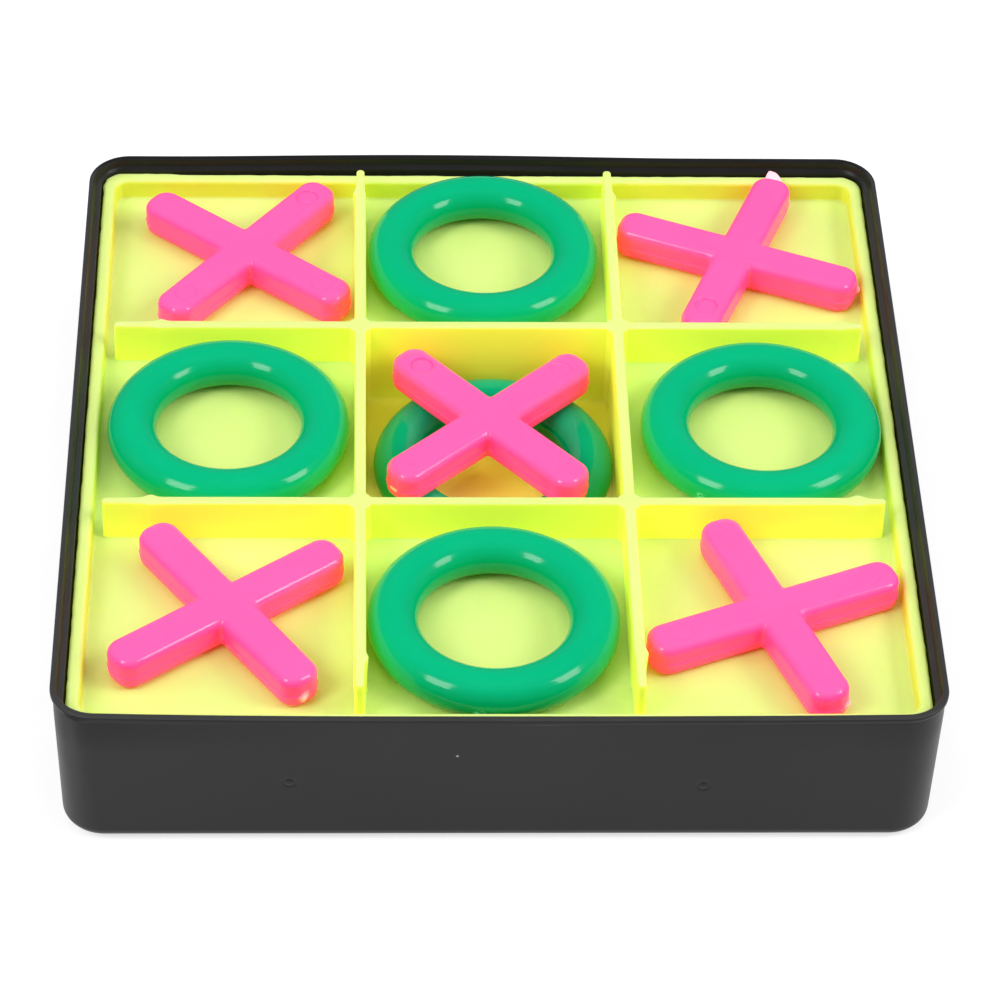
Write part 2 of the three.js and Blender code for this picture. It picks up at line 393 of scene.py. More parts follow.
def yellow_plastic():
    """The insert's plastic. Level faces take a paler top colour than upright ones, which is painted light;
    upright faces of the ribs and well get a painted glow as if light passed through them, the lower well a
    painted shade colour, and a painted warm glow lies on the front of the well's floor.
    """
    n = Nodes("yellow_plastic")
    # Painted light: level faces get the paler, less saturated top colour.
    level = level_share(n, 0.25, 0.85)
    top = flowing(n, (0.69, 0.86, 0.255), (0.98, 1.0, 0.9))
    side = flowing(n, (0.76, 0.88, 0.085), (0.98, 1.0, 0.85))
    # Painted shade: deep in the well the colour turns a warmer, less blue yellow.
    deep_colour = (0.80, 0.82, 0.075)
    n.feed("Base Color", n.mix(n.attribute("deep"), n.mix(level, side, top), deep_colour))
    # Painted glow: a faint one everywhere, a warm one on the front of the well's floor, and a yellow one
    # on upright faces of the ribs and well, as if light passed through them.
    upright = n.add("Math", operation="SUBTRACT")
    upright.inputs[0].default_value = 1.0
    n.link(level, upright.inputs[1])
    through = n.multiply(upright.outputs[0], n.attribute("thin"))
    faint_glow, warm_glow, thin_glow = (0.02, 0.025, 0.0), (1.4, 0.95, 0.25), (0.75, 0.9, 0.06)
    glow = n.mix(n.attribute("warm"), faint_glow, warm_glow)
    n.feed("Emission Color", n.mix(through, glow, thin_glow))
    bright_plastic_grain(n, 0.36)
    n.set(Specular_IOR_Level=0.3, Emission_Strength=0.36)
    n.set(Subsurface_Weight=0.4, Subsurface_Radius=(2.2, 2.6, 0.5), Subsurface_Scale=MM)
    return n.material


def dust_specks(n):
    """1 on rare, tiny specks and 0 elsewhere."""
    cells = n.add("TexVoronoi", feature="F1")
    cells.inputs["Scale"].default_value = 210.0
    n.link(n.place(), cells.inputs["Vector"])
    chance = n.add("SeparateColor")
    n.link(cells.outputs["Color"], chance.inputs["Color"])
    rare = n.remap(chance.outputs["Red"], 0.93, 0.94, 0.0, 1.0)
    near_middle = n.remap(cells.outputs["Distance"], 0.025, 0.04, 1.0, 0.0)
    return n.multiply(rare, near_middle)


def black_plastic():
    """Dark moulded plastic with faint clouding and specks of dust. Level faces are painted paler than
    upright ones as painted light, except along the back, where they keep the dark colour.
    """
    n = Nodes("black_plastic")
    cloud = n.remap(n.noise(60.0, 3.0, 0.6), 0.35, 0.7, 0.0, 1.0)
    # Painted light: upright faces take a darker colour and level faces a paler one, as if lit from above.
    upright = n.mix(cloud, (0.009, 0.0093, 0.0095), (0.012, 0.012, 0.012))
    level = n.mix(cloud, (0.035, 0.036, 0.035), (0.042, 0.042, 0.042))
    # A mesh attribute holds the painted light on level faces off along the back.
    paler = n.multiply(level_share(n, 0.35, 0.85), n.attribute("painted_light"))
    dust_colour = (0.35, 0.35, 0.33)
    n.feed("Base Color", n.mix(dust_specks(n), n.mix(paler, upright, level), dust_colour))
    drift = n.noise(120.0, 3.0, 0.6)
    moulded_surface(n, drift, 0.34, 0.44, ripple=(70.0, 0.2, 0.15), grain=(3200.0, 0.35, 0.01))
    n.set(Specular_IOR_Level=0.26)
    return n.material


BLACK = black_plastic()
YELLOW = yellow_plastic()
# Each piece's top colour is lighter than its side colour: painted light on level faces.
GREEN = piece_plastic(
    "green_plastic",
    side=(0.0, 0.42, 0.13),
    top=(0.0, 0.43, 0.19),
    variation=(1.0, 0.95, 0.96),
    pale=(0.30, 0.85, 0.6),
    roughness=0.11,
    gloss=0.25,
    depth=0.2,
    blur=(0.2, 1.0, 0.6),
    glow=(0.0, 0.0, 0.0),
    glow_strength=0.0,
)
PINK = piece_plastic(
    "pink_plastic",
    side=(0.95, 0.082, 0.40),
    top=(0.95, 0.115, 0.40),
    variation=(1.0, 0.92, 0.97),
    pale=(0.95, 0.66, 0.76),
    roughness=0.13,
    gloss=0.4,
    depth=0.15,
    blur=(1.2, 0.4, 0.6),
    # Painted glow standing in for the pink plastic's fluorescence.
    glow=(1.0, 0.015, 0.025),
    glow_strength=0.4,
)


# ---- tray --------------------------------------------------------------------------------------------

TRAY_HIGH = node_box("box_base")[1]
TRAY_HALF = TRAY_HIGH.x
TRAY_TOP = TRAY_HIGH.z
TRAY_CORNER = 4.7
TRAY_CORNER_STEPS = 14
TRAY_SIDE_STEPS = 40
WALL_DRAFT = 0.3
WALL_TOP_HALF = TRAY_HALF - 0.3
WALL_BOTTOM_HALF = WALL_TOP_HALF - WALL_DRAFT
WALL_LEVELS = 8
BOTTOM_ROUND = 1.8
BOTTOM_CORNER_SHARE = 0.6
UNDER_RIM = TRAY_TOP - 0.6
RIM_ROUND, RIM_INSIDE_ROUND = 0.22, 0.2
RIM_CORNER, RIM_INSIDE_CORNER = TRAY_CORNER + 0.3, TRAY_CORNER - 0.3
RIM_INSIDE = TRAY_HALF - 0.63
REBATE_INSIDE = TRAY_HALF - 0.9
REBATE_FOOT = TRAY_TOP - 1.0
REBATE_FALL = 0.25
WALL_INSIDE = 48.5
WALL_INSIDE_CORNER = 2.9
WALL_INSIDE_MIDDLE = 10.0
TRAY_FLOOR = 1.2
TRAY_FLOOR_ROUND = 0.6

# How far the back wall bows out, the x of the middle of its bow, and how far the bow reaches from there.
BACK_BOW, BACK_BOW_MIDDLE, BACK_BOW_REACH = 0.49, -7.0, 34.0

# How far the rim's front draws in at its corners, and the distances forwards over which that comes in.
RIM_DRAW_LEFT, RIM_DRAW_RIGHT = 0.5, 0.25
RIM_DRAW_FROM, RIM_DRAW_TO = 35, 45

# How far behind the rim's front edge the wall stays where it meets the rim, and how long the fade is.
FLUSH_GAP = 0.02
FLUSH_FADE = 12.0

# The front wall's moulding marks, as (x, z), and the front's points, which lie past this y.
WALL_MARKS = ((-23.5, TRAY_TOP - 10.25), (22.9, TRAY_TOP - 10.95))
MARK_RADIUS = 0.62
MARK_REACH = 1.2
MARK_FINE_RADII = (3.4, 1.5)
FRONT_PAST = -45

# Distance forwards from the back wall over which the painted light that makes level faces paler comes in.
PAINTED_LIGHT_FADE = 3


def tray_stack():
    """(half, corner radius, z) from the underside's edge, up and over the rim, to the tray's floor."""
    stack = []
    for inset, rise in quarter_round(BOTTOM_ROUND, 8):
        stack.append((WALL_BOTTOM_HALF - inset, TRAY_CORNER - inset * BOTTOM_CORNER_SHARE, rise))
    for i in range(1, WALL_LEVELS):
        share = i / WALL_LEVELS
        z = BOTTOM_ROUND + (UNDER_RIM - 0.3 - BOTTOM_ROUND) * share
        stack.append((WALL_BOTTOM_HALF + WALL_DRAFT * share, TRAY_CORNER, z))
    # The lip, from the wall out to the rim's edge.
    stack += [
        (WALL_TOP_HALF, TRAY_CORNER, UNDER_RIM - 0.26),
        (WALL_TOP_HALF + 0.05, TRAY_CORNER, UNDER_RIM - 0.12),
        (TRAY_HALF - 0.08, TRAY_CORNER + 0.22, UNDER_RIM - 0.03),
        (TRAY_HALF - 0.01, TRAY_CORNER + 0.28, UNDER_RIM + 0.05),
    ]
    for inset, rise in quarter_round(RIM_ROUND, 5, back=True):
        stack.append((TRAY_HALF - inset, RIM_CORNER - inset, TRAY_TOP - rise))
    for inset, rise in quarter_round(RIM_INSIDE_ROUND, 5):
        stack.append((RIM_INSIDE + inset, RIM_INSIDE_CORNER + inset, TRAY_TOP - rise))
    # The rebate: down its wall to its foot, in along its ledge and down the tray's inner wall.
    ledge = REBATE_FOOT - REBATE_FALL
    stack += [
        (REBATE_INSIDE + 0.04, TRAY_CORNER - 0.5, REBATE_FOOT + 0.12),
        (REBATE_INSIDE - 0.01, TRAY_CORNER - 0.55, REBATE_FOOT + 0.03),
        (REBATE_INSIDE - 0.1, TRAY_CORNER - 0.65, REBATE_FOOT - 0.05),
        (WALL_INSIDE + 0.12, WALL_INSIDE_CORNER + 0.15, ledge + 0.04),
        (WALL_INSIDE + 0.03, WALL_INSIDE_CORNER + 0.03, ledge - 0.03),
        (WALL_INSIDE, WALL_INSIDE_CORNER, ledge - 0.12),
        (WALL_INSIDE, WALL_INSIDE_CORNER, WALL_INSIDE_MIDDLE),
    ]
    for inset, rise in quarter_round(TRAY_FLOOR_ROUND, 4, back=True):
        stack.append((WALL_INSIDE - inset, WALL_INSIDE_CORNER - inset, TRAY_FLOOR + rise))
    return stack


def tray_plan(half, radius, z):
    """Plan points of the tray at one height; the rim is wider at the front and back than at the sides."""
    plan = rounded_square(half, radius, TRAY_CORNER_STEPS, TRAY_SIDE_STEPS)
    on_rims_inner_edge = half < RIM_INSIDE + 0.25 and z > REBATE_FOOT + 0.2
    if on_rims_inner_edge:
        plan = [(x, y * REBATE_INSIDE / RIM_INSIDE) for x, y in plan]
    return plan


def wall_marks(bm):
    """Two round moulding marks on the front wall, each a shallow groove round a low button."""
    for x, z in WALL_MARKS:
        for radius in MARK_FINE_RADII:
            refine(bm, (x, -WALL_BOTTOM_HALF - 0.15, z), radius, 3)
        for v in bm.verts:
            away = math.hypot(v.co.x - x, v.co.z - z)
            if v.co.y < FRONT_PAST and away < MARK_REACH:
                groove = 0.1 * bell(away - MARK_RADIUS, 0.13)
                v.co.y += groove - 0.06 * smooth_step(away, 0.5, 0.2)


def flush_lip(bm):
    """On the left half of the front, the wall comes out to meet the rim, so that its lip fades away."""
    most = TRAY_HALF - FLUSH_GAP - WALL_TOP_HALF
    for v in bm.verts:
        if v.co.y < 0 and v.co.z < TRAY_TOP - 0.5:
            left = smooth_step(-v.co.x, -FLUSH_FADE, 0.0)
            near_front = smooth_step(-v.co.y, WALL_INSIDE + 0.1, WALL_BOTTOM_HALF)
            high = min(1.0, v.co.z / (TRAY_TOP - 1)) ** 2
            out = most * left * near_front * high
            v.co.y = max(v.co.y - out, min(v.co.y, FLUSH_GAP - TRAY_HALF))


def warp_tray(bm):
    """The back wall bows out over part of its length, and the rim's front draws in towards the corners."""
    rim_side = TRAY_HALF - TRAY_CORNER
    for v in bm.verts:
        if v.co.y > WALL_INSIDE - TRAY_CORNER:
            away = min(1.0, abs(v.co.x - BACK_BOW_MIDDLE) / BACK_BOW_REACH)
            v.co.y += BACK_BOW * (1 - away**2) ** 2 * (v.co.z / TRAY_TOP) ** 2
        elif v.co.y < 0:
            most = RIM_DRAW_LEFT if v.co.x < 0 else RIM_DRAW_RIGHT
            near_front = smooth_step(-v.co.y, RIM_DRAW_FROM, RIM_DRAW_TO)
            high = smooth_step(v.co.z, REBATE_FOOT - 1.5, REBATE_FOOT)
            v.co.y += most * min(1.0, abs(v.co.x) / rim_side) ** 3 * near_front * high


def paint_level_light(bm):
    """Marks where level faces are painted paler, as painted light: everywhere but along the back."""
    painted_light = bm.verts.layers.float.new("painted_light")
    for v in bm.verts:
        v[painted_light] = smooth_step(-v.co.y, -WALL_INSIDE, -WALL_INSIDE + PAINTED_LIGHT_FADE)


def tray():
    shell = Shell()
    first, last = shell.skin([(tray_plan(half, radius, z), z) for half, radius, z in tray_stack()])
    shell.fill(first, [], lambda x, y: 0.0, 4.0)
    shell.fill(last, [], lambda x, y: TRAY_FLOOR, 4.0)

    def shape(bm):
        for change in (wall_marks, flush_lip, warp_tray, paint_level_light):
            change(bm)

    add_piece("tray", shell, BLACK, "box", "box_base", shape)


tray()


# ---- board insert ------------------------------------------------------------------------------------

INSERT_LOW, INSERT_HIGH = node_box("board_insert")
SKIRT_BOTTOM = INSERT_LOW.z
RIB_TOP = INSERT_HIGH.z
BORDER_OUTSIDE = INSERT_HIGH.x
BORDER_CORNER = 2.6
BORDER_TOP = 18.4
BORDER_INSIDE = 46.75
FRONT_BORDER_INSIDE = 47.0
POCKET_CORNER = 1.6
CELL_FLOOR = 15.7
SHEET = 1.2
WELL_FLOOR = 9.6
RIB_OFFSET = 15.65
RIB_HALF = 0.65
RIB_TIP_HALF = 0.5
BOSS_RADIUS = 1.45
RIB_REACH = {"x": 45.5, "y": 45.8}
RIB_END_ROUND = 0.42

# Heights at which the skirt has points, and the rounds along the border, the ribs and the well.
SKIRT_LEVELS = (6.0, 12.0, 17.0)
BORDER_ROUND, BORDER_INSIDE_ROUND, POCKET_FLOOR_ROUND = 0.42, 0.55, 0.4
RIB_FOOT_ROUND, RIB_TOP_ROUND = 0.2, 0.24
WELL_FLOOR_ROUND = 0.4
WELL_LEVELS = (18.0, 15.0, 12.0)
CEILING_ROUND, WELL_BASE_ROUND = 0.6, 0.4

# How much thicker the ribs are at their foot, and the share of a knot's bulge that is there.
RIB_DRAFT = 0.06
KNOT_FOOT_SHARE = 0.35

# How far either side of a knot a rib's points lie close together, and the width of the knot's bulge.
KNOT_REACH = 2
KNOT_WIDTH = 0.75

# The border's uneven edge, and the points past this distance, which the teeth of flash are on.
EDGE_ROUGHNESS = 0.096
EDGE_PAST = 47

# Distance between the points on the floors of the cells and the well, and on the underside.
FLOOR_SPACING = 2.2
UNDERSIDE_SPACING = 3.0

# Each rib end, by quarter turn and arm: how far out the knot in it is, and its bulge to the left and right
# of the way outwards.
RIB_KNOTS = {
    (0, 0): (43.0, 0.34, 0.12),
    (0, 1): (40.7, 0.0, 0.32),
    (1, 0): (41.3, 0.3, 0.0),
    (1, 1): (40.0, 0.12, 0.38),
    (2, 0): (40.0, 0.12, 0.42),
    (2, 1): (41.2, 0.32, 0.0),
    (3, 0): (40.6, 0.32, 0.0),
    (3, 1): (42.4, 0.45, 0.2),
}


def turned(points, quarters):
    c, s = (1, 0, -1, 0)[quarters], (0, 1, 0, -1)[quarters]
    return [(x * c - y * s, x * s + y * c) for x, y in points]


def arc(x, y, radius, start, end, steps):
    angles = [start + (end - start) * i / steps for i in range(steps + 1)]
    return [(x + radius * math.cos(a), y + radius * math.sin(a)) for a in angles]


def arm_side(knot, tip, grow, bulge):
    """(out, half thickness) along one side of a rib end, from the boss to the start of its end round."""
    start = RIB_OFFSET + math.sqrt((BOSS_RADIUS + grow) ** 2 - (RIB_HALF + grow) ** 2)
    stop = tip - RIB_END_ROUND
    near_knot = knot - KNOT_REACH
    outs = [start + (near_knot - start) * i / 10 for i in range(1, 10)]
    fine = [near_knot + 2 * KNOT_REACH * i / 20 for i in range(21)]
    outs += [out for out in fine if out < stop - 0.1]
    outs += [stop]
    side = []
    for out in outs:
        slim = smooth_step(out, knot - 0.3, knot + 0.5)
        taper = 0.06 * smooth_step(out, knot, tip)
        half = RIB_HALF + (RIB_TIP_HALF + 0.06 - RIB_HALF) * slim - taper
        side.append((out, half + grow + bulge * bell(out - knot, KNOT_WIDTH)))
    return side


def rib_arm(quarter, arm, grow, knot_share):
    """Plan points round one rib end, out along its right side and back along its left, before turning."""
    knot, left, right = RIB_KNOTS[(quarter, arm)]
    tip = RIB_REACH["x" if (quarter + arm) % 2 == 0 else "y"]
    points = [(out, -half) for out, half in arm_side(knot, tip, grow, right * knot_share)]
    round_end = RIB_END_ROUND + grow
    half = points[-1][1]
    points += arc(tip - RIB_END_ROUND, half + round_end, round_end, -QUARTER, 0, 5)[1:]
    left_side = [(out, half) for out, half in arm_side(knot, tip, grow, left * knot_share)]
    half = left_side[-1][1]
    points += arc(tip - RIB_END_ROUND, half - round_end, round_end, 0, QUARTER, 5)
    points += reversed(left_side[:-1])
    return points


def lattice_outside(grow, knot_share):
    """Outline of the ribs seen from above, grown by a distance, with a round boss at each crossing."""
    loop = []
    boss = BOSS_RADIUS + grow
    side = RIB_HALF + grow
    turn = math.asin(side / boss)
    along = math.sqrt(boss * boss - side * side)
    o = RIB_OFFSET
    for quarter in range(4):
        inner = o - along
        part = [(o + side, -inner + 2 * inner * i / 14) for i in range(1, 14)]
        part += arc(o, o, boss, turn - QUARTER, -turn, 5)
        part += [(x, y + o) for x, y in rib_arm(quarter, 0, grow, knot_share)]
        part += arc(o, o, boss, turn, QUARTER - turn, 5)
        part += [(o - y, x) for x, y in rib_arm(quarter, 1, grow, knot_share)]
        part += arc(o, o, boss, QUARTER + turn, 2 * QUARTER - turn, 5)
        loop += turned(part, quarter)
    return loop


def bossed_square(half, boss, outward):
    """A square about the well with a round boss at each corner, bulging outward or inward."""
    side = abs(half - RIB_OFFSET)
    turn = math.asin(side / boss)
    end = RIB_OFFSET - math.sqrt(boss * boss - side * side)
    loop = []
    if outward:
        start, stop = turn - QUARTER, 2 * QUARTER - turn
    else:
        start, stop = 3 * QUARTER - turn, 2 * QUARTER + turn
    for quarter in range(4):
        part = [(half, -end + 2 * end * i / 14) for i in range(1, 14)]
        part += arc(RIB_OFFSET, RIB_OFFSET, boss, start, stop, 8)
        loop += turned(part, quarter)
    return loop


def ragged(plan):
    """The border's outer edge, a little uneven, with a small tooth of flash at the left and the back."""
    moved = []
    for x, y in plan:
        rough = EDGE_ROUGHNESS * noise.noise(Vector((x * 0.9, y * 0.9, 3.0)))
        if x < -EDGE_PAST:
            rough += 0.22 * bell(y - 33.0, 0.5)
        if y > EDGE_PAST:
            rough += 0.18 * smooth_step(x, -39.0, -39.6)
        share = 1 + rough / max(abs(x), abs(y))
        moved.append((x * share, y * share))
    return moved


def warp(x, y):
    """The slow unevenness of the insert's floors."""
    return 0.05 * noise.noise(Vector((x * 0.07, y * 0.07, 8.0)))


def insert_square(half, radius):
    return rounded_square(half, radius, 8, 90)


def pocket_square(half, radius):
    """A square whose front side is further out, as the pocket's front wall is thinner."""
    front = FRONT_BORDER_INSIDE / BORDER_INSIDE
    return [(x, y * front if y < 0 else y) for x, y in insert_square(half, radius)]


def border(shell):
    """The skirt, the border's top and the pocket's wall; returns the loops at its two ends."""
    loops = [(insert_square(BORDER_OUTSIDE, BORDER_CORNER), z) for z in (SKIRT_BOTTOM, *SKIRT_LEVELS)]
    for inset, rise in quarter_round(BORDER_ROUND, 4, back=True):
        plan = insert_square(BORDER_OUTSIDE - inset, BORDER_CORNER - inset)
        loops.append((ragged(plan), BORDER_TOP - rise))
    loops.append((insert_square(BORDER_OUTSIDE - 0.55, BORDER_CORNER - 0.5), BORDER_TOP))
    for inset, rise in quarter_round(BORDER_INSIDE_ROUND, 5):
        loops.append((pocket_square(BORDER_INSIDE + inset, POCKET_CORNER + inset), BORDER_TOP - rise))
    for inset, rise in quarter_round(POCKET_FLOOR_ROUND, 4, back=True):
        inset += 0.05
        loops.append((pocket_square(BORDER_INSIDE - inset, POCKET_CORNER - inset), CELL_FLOOR + rise))
    return shell.skin(loops)


def ribs(shell):
    """The ribs' sides, from the cells' floor up to their tops; returns the loops at the two ends."""
    loops = []
    for inset, rise in quarter_round(RIB_FOOT_ROUND, 3):
        loops.append((lattice_outside(RIB_DRAFT + inset, KNOT_FOOT_SHARE), CELL_FLOOR + rise))
    for share in (0.3, 0.55, 0.8):
        low = CELL_FLOOR + RIB_FOOT_ROUND
        z = low + (RIB_TOP - RIB_TOP_ROUND - low) * share
        knot_share = KNOT_FOOT_SHARE + (1 - KNOT_FOOT_SHARE) * share * share
        loops.append((lattice_outside(RIB_DRAFT * (1 - share), knot_share), z))
    for inset, rise in quarter_round(RIB_TOP_ROUND, 4, back=True):
        loops.append((lattice_outside(-inset, 1.0), RIB_TOP - rise))
    return shell.skin(loops)


def well(shell):
    """The centre well's walls; returns its mouth and the edge of its floor."""
    half = RIB_OFFSET - RIB_HALF
    loops = []
    for inset, rise in quarter_round(RIB_TOP_ROUND, 4):
        loops.append((bossed_square(half + inset, BOSS_RADIUS - inset, False), RIB_TOP - rise))
    for z in WELL_LEVELS:
        loops.append((bossed_square(half - 0.02, BOSS_RADIUS + 0.01, False), z))
    for inset, rise in quarter_round(WELL_FLOOR_ROUND, 4, back=True):
        inset += 0.03
        loops.append((bossed_square(half - inset, BOSS_RADIUS + inset, False), WELL_FLOOR + rise))
    return shell.skin(loops)


def underside(shell, first):
    """The hollow underside, joined to the skirt's first loop, and the outside of the well."""
    under = CELL_FLOOR - SHEET
    half, corner = BORDER_OUTSIDE - SHEET, BORDER_CORNER - 1
    loops = [(insert_square(half, corner), SKIRT_BOTTOM)]
    for inset, rise in quarter_round(CEILING_ROUND, 3, back=True):
        loops.append((insert_square(half - inset, corner - inset), under - rise))
    ceiling = shell.skin(loops, first)[1]
    well_half, well_base = RIB_OFFSET + RIB_HALF, WELL_FLOOR - SHEET
    loops = [(bossed_square(well_half, BOSS_RADIUS, True), under)]
    for inset, rise in quarter_round(WELL_BASE_ROUND, 3, back=True):
        loops.append((bossed_square(well_half - inset, BOSS_RADIUS - inset, True), well_base + rise))
    top, base = shell.skin(loops)
    shell.fill(ceiling, [top], lambda x, y: under, UNDERSIDE_SPACING)
    shell.fill(base, [], lambda x, y: well_base, UNDERSIDE_SPACING)


def mark_light(bm):
    """Marks where a glow is painted on the ribs as if light passed through them, where the well gets a
    painted shade colour, and where a warm glow is painted on the front of its floor.
    """
    thin, warm, deep = (bm.verts.layers.float.new(name) for name in ("thin", "warm", "deep"))
    for v in bm.verts:
        size = max(abs(v.co.x), abs(v.co.y))
        v[thin] = smooth_step(-size, 0.4 - BORDER_INSIDE, 0.8 - BORDER_INSIDE)
        in_well = size < RIB_OFFSET - RIB_HALF + 0.1
        if in_well:
            # The painted glow fades lower down the well.
            v[thin] *= 0.2 + 0.8 * smooth_step(v.co.z, WELL_FLOOR + 4, RIB_TOP - 1)
            v[deep] = smooth_step(-v.co.z, -RIB_TOP + 3, -WELL_FLOOR - 2)
            # Painted warm glow on the front of the well's floor.
            low = smooth_step(-v.co.z, -WELL_FLOOR - 1, -WELL_FLOOR)
            v[warm] = low * smooth_step(-v.co.y, -2, 8)


def insert():
    shell = Shell()
    first, pocket = border(shell)
    foot, rib_top = ribs(shell)
    shell.fill(pocket, [foot], lambda x, y: CELL_FLOOR + warp(x, y), FLOOR_SPACING)
    mouth, well_floor = well(shell)
    shell.fill(rib_top, [mouth], lambda x, y: RIB_TOP)
    shell.fill(well_floor, [], lambda x, y: WELL_FLOOR + warp(x, y), FLOOR_SPACING)
    underside(shell, first)
    add_piece("board", shell, YELLOW, "board", "board_insert", mark_light)


insert()


# ---- rings -------------------------------------------------------------------------------------------

RING_MIDDLE = 11.5
RING_HALF_WIDTH = 2.9
RING_HALF_HEIGHT = 2.6
RING_SIDES = 40
RING_STEPS = 144

# A gate's rough spot and a pin mark: the radius of the finer mesh, the reach of the mark, and its depth.
GATE_FINE_RADIUS, GATE_REACH = 1.6, 1.3
PIN_MARK_FINE_RADIUS, PIN_MARK_REACH, PIN_MARK_DEPTH = 1.9, 1.6, 0.07


def ring_surface(x, y, z, around, section):
    """A point of a ring standing at (x, y, z), with around and section in radians."""
    along = RING_MIDDLE + RING_HALF_WIDTH * math.cos(section)
    up = RING_HALF_HEIGHT + RING_HALF_HEIGHT * math.sin(section)
    return (x + along * math.cos(around), y + along * math.sin(around), z + up)


def rough_gate(bm, centre, scuff):
    """A lumpy, pale spot where a ring was cut from its runner."""
    refine(bm, centre, GATE_FINE_RADIUS, 3)
    bm.normal_update()
    for v in bm.verts:
        away = (v.co - centre).length
        if away < GATE_REACH:
            lump = noise.noise(v.co * 3.1) + 0.6 * noise.noise(v.co * 7.3)
            share = smooth_step(away, 0.95, 0.35)
            v[scuff] = max(v[scuff], min(1.0, share * smooth_step(lump, -0.25, 0.4)))
            v.co += v.normal * share * (0.03 + 0.13 * lump)


def pin_mark(bm, centre):
    """A shallow, round mark left by an ejector pin."""
    refine(bm, centre, PIN_MARK_FINE_RADIUS, 4)
    bm.normal_update()
    for v in bm.verts:
        away = (v.co - centre).length
        if away < PIN_MARK_REACH:
            v.co -= v.normal * PIN_MARK_DEPTH * smooth_step(away, 1.05, 0.85)


def ring(name, gates=(), pins=()):
    """A ring with rough gates and pin marks, each at (around, section) in degrees."""
    x, y, z = node_middle(name)
    shell = Shell()
    for i in range(RING_STEPS):
        around = 2 * math.pi * i / RING_STEPS
        sections = [2 * math.pi * k / RING_SIDES for k in range(RING_SIDES)]
        shell.points += [ring_surface(x, y, z, around, section) for section in sections]
    for i in range(RING_STEPS):
        here, there = i * RING_SIDES, (i + 1) % RING_STEPS * RING_SIDES
        for k in range(RING_SIDES):
            m = (k + 1) % RING_SIDES
            shell.faces.append((here + k, there + k, there + m, here + m))

    def centre(around, section):
        return Vector(ring_surface(x, y, z, math.radians(around), math.radians(section)))

    def shape(bm):
        scuff = bm.verts.layers.float.new("scuff")
        for mark in gates:
            rough_gate(bm, centre(*mark), scuff)
        for mark in pins:
            pin_mark(bm, centre(*mark))

    add_piece(name + "_piece", shell, GREEN, name, name, shape)


ring("ring_back")
ring("ring_left", pins=[(140, 100)])
ring("ring_right", gates=[(237, -5)])
ring("ring_front", gates=[(262, -15)])
ring("ring_centre")


# ---- crosses -----------------------------------------------------------------------------------------

CROSS_HALF = 2.55
CROSS_REACH = 15.65
CROSS_END = 2.15
CROSS_NOTCH = 0.5
CROSS_TOP_NOTCH = 0.2
CROSS_TOP_ROUND = 1.05
CROSS_FOOT_ROUND = 1.0
CROSS_HEIGHT = 4.3
CROSS_PARTING = 1.7
NUB_HALF_HEIGHT = 0.6
PIN_RADIUS = 1.3
PIN_FROM_END = 3.8
CROSS_DRAFT = 0.07

# Steps over the parting line, as (inset, height above it).
PARTING_STEPS = (
    (0.06, -0.3),
    (0.04, -0.1),
    (0.0, -0.03),
    (0.0, 0.04),
    (0.06, 0.12),
    (CROSS_DRAFT, 0.4),
    (CROSS_DRAFT, 0.8),
)

# Distances from a pin mark's edge at which the top has rings of points, and the spacing of the others.
PIN_RING_OFFSETS = (-0.18, -0.08, 0.0, 0.08, 0.18)
CROWN_SPACING = 0.5

# The chip at the end of a torn cross's first arm: its sections as (out, left, up, half width, half
# thickness), and the outline of a section in shares of those two halves.
CHIP_SECTIONS = (
    (14.6, 0.3, 3.1, 1.15, 0.4),
    (15.7, 0.35, 3.45, 1.1, 0.36),
    (16.2, 0.5, 3.75, 0.9, 0.3),
    (16.55, 0.75, 4.0, 0.55, 0.16),
)
CHIP_OUTLINE = ((1, 0.2), (0.7, 1), (-0.5, 0.8), (-1, 0.1), (-0.6, -1), (0.6, -0.9))


def heading(degrees):
    """The level direction at an angle from the x axis."""
    angle = math.radians(degrees)
    return Vector((math.cos(angle), math.sin(angle), 0))


def pushed(part, nub, z):
    """The points of an arm's outline at height z, pushed out where the arm has a nub."""
    _, degrees, length, width, height = nub
    aim = heading(degrees).xy
    tip = Vector((CROSS_REACH - CROSS_END, 0)) + aim * CROSS_END
    level = bell(z - height, NUB_HALF_HEIGHT)
    moved = []
    for x, y in part:
        near = smooth_step((Vector((x, y)) - tip).length, 1.5 * width, 0.5 * width)
        push = length * level * near
        moved.append((x + aim.x * push, y + aim.y * push))
    return moved


def cross_outline(inset, z, nubs):
    """Plan outline of a cross drawn in by inset, at height z.

    nubs are (arm, degrees round its end, length, width, height).
    """
    half = CROSS_HALF - inset
    notch = CROSS_NOTCH + (CROSS_TOP_NOTCH - CROSS_NOTCH) * inset / CROSS_TOP_ROUND
    corner = half + notch
    end = CROSS_END - inset
    straight = CROSS_REACH - CROSS_END
    gap = CROSS_HALF - CROSS_END
    loop = []
    for arm in range(4):
        part = [(corner + (straight - corner) * i / 12, -half) for i in range(12)]
        part += arc(straight, -gap, end, -QUARTER, 0, 12)
        part += arc(straight, gap, end, 0, QUARTER, 12)
        part += [(straight + (corner - straight) * i / 12, half) for i in range(1, 13)]
        part += arc(corner, corner, notch, 3 * QUARTER, 2 * QUARTER, 6)[1:-1]
        for nub in nubs:
            if nub[0] == arm:
                part = pushed(part, nub, z)
        loop += turned(part, arm)
    return loop


def torn_gate(shell):
    """Adds the chip left where a cross was torn from its runner."""
    loops = []
    for out, left, up, half_width, half_thick in CHIP_SECTIONS:
        start = len(shell.points)
        for across, lift in CHIP_OUTLINE:
            shell.points.append((out, left + half_width * across, up + half_thick * lift))
        loops.append(list(range(start, len(shell.points))))
    for a, b in zip(loops, loops[1:]):
        shell.bridge(a, b)
    shell.faces += [tuple(loops[0]), tuple(loops[-1])]


